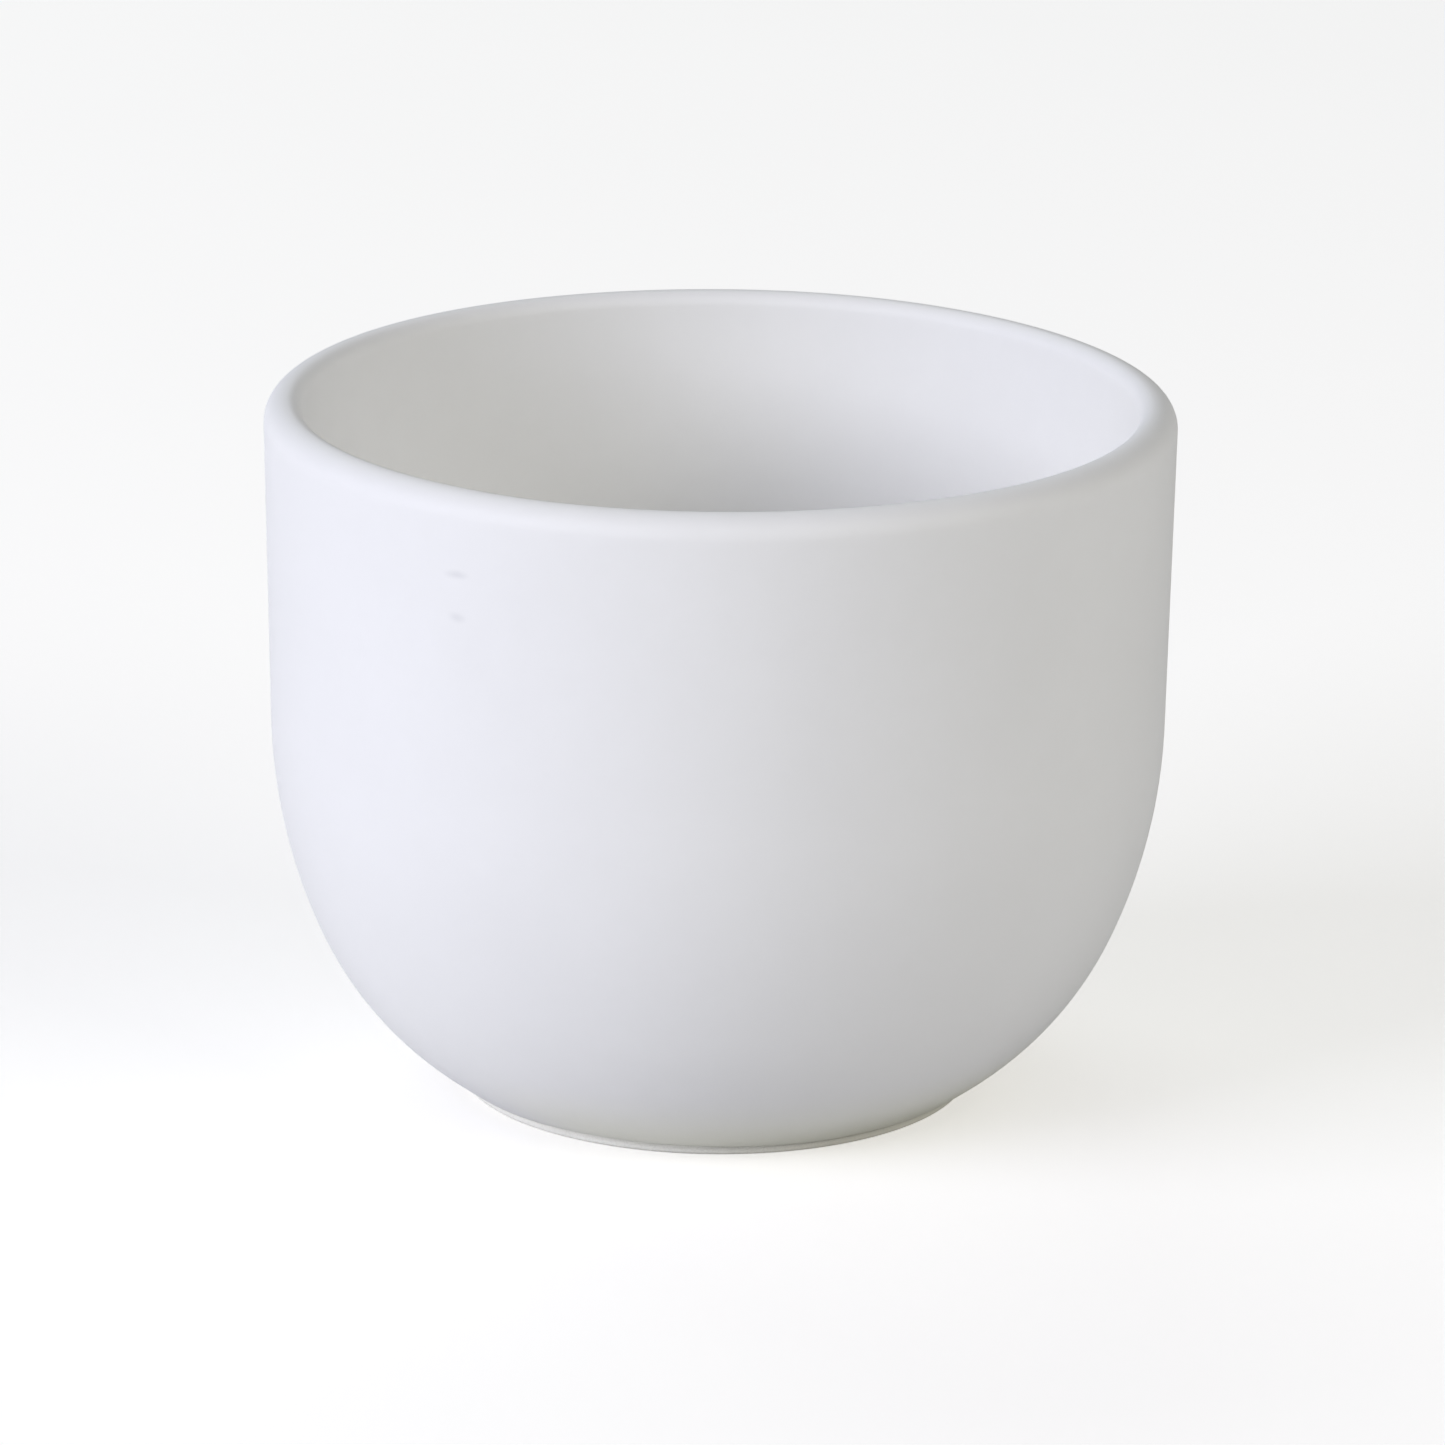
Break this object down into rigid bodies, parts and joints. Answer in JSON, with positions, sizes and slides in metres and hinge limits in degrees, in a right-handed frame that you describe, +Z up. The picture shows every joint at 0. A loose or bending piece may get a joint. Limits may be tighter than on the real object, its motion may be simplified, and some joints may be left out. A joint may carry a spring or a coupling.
{
  "type": "porcelain crucible",
  "caption": "Thick-walled white porcelain laboratory crucible: an open cup with a rounded lip, a bowl-shaped lower half and a small bare foot, for heating and ashing samples. No lid.",
  "frame": {"origin": "centre of the foot's standing plane", "axes": "+Z up along the axis of revolution, from the foot to the open mouth; X and Y are alike"},
  "size_m": [0.05, 0.05, 0.039],
  "materials": {
    "bare_porcelain": "matte, unglazed, faintly gritty",
    "white_glaze": "soft satin glaze, cool white"
  },
  "bodies": {
    "root": {"porcelain_body": "bare_porcelain", "outside_glaze": "white_glaze", "inside_glaze": "white_glaze"}
  },
  "joints": []
}
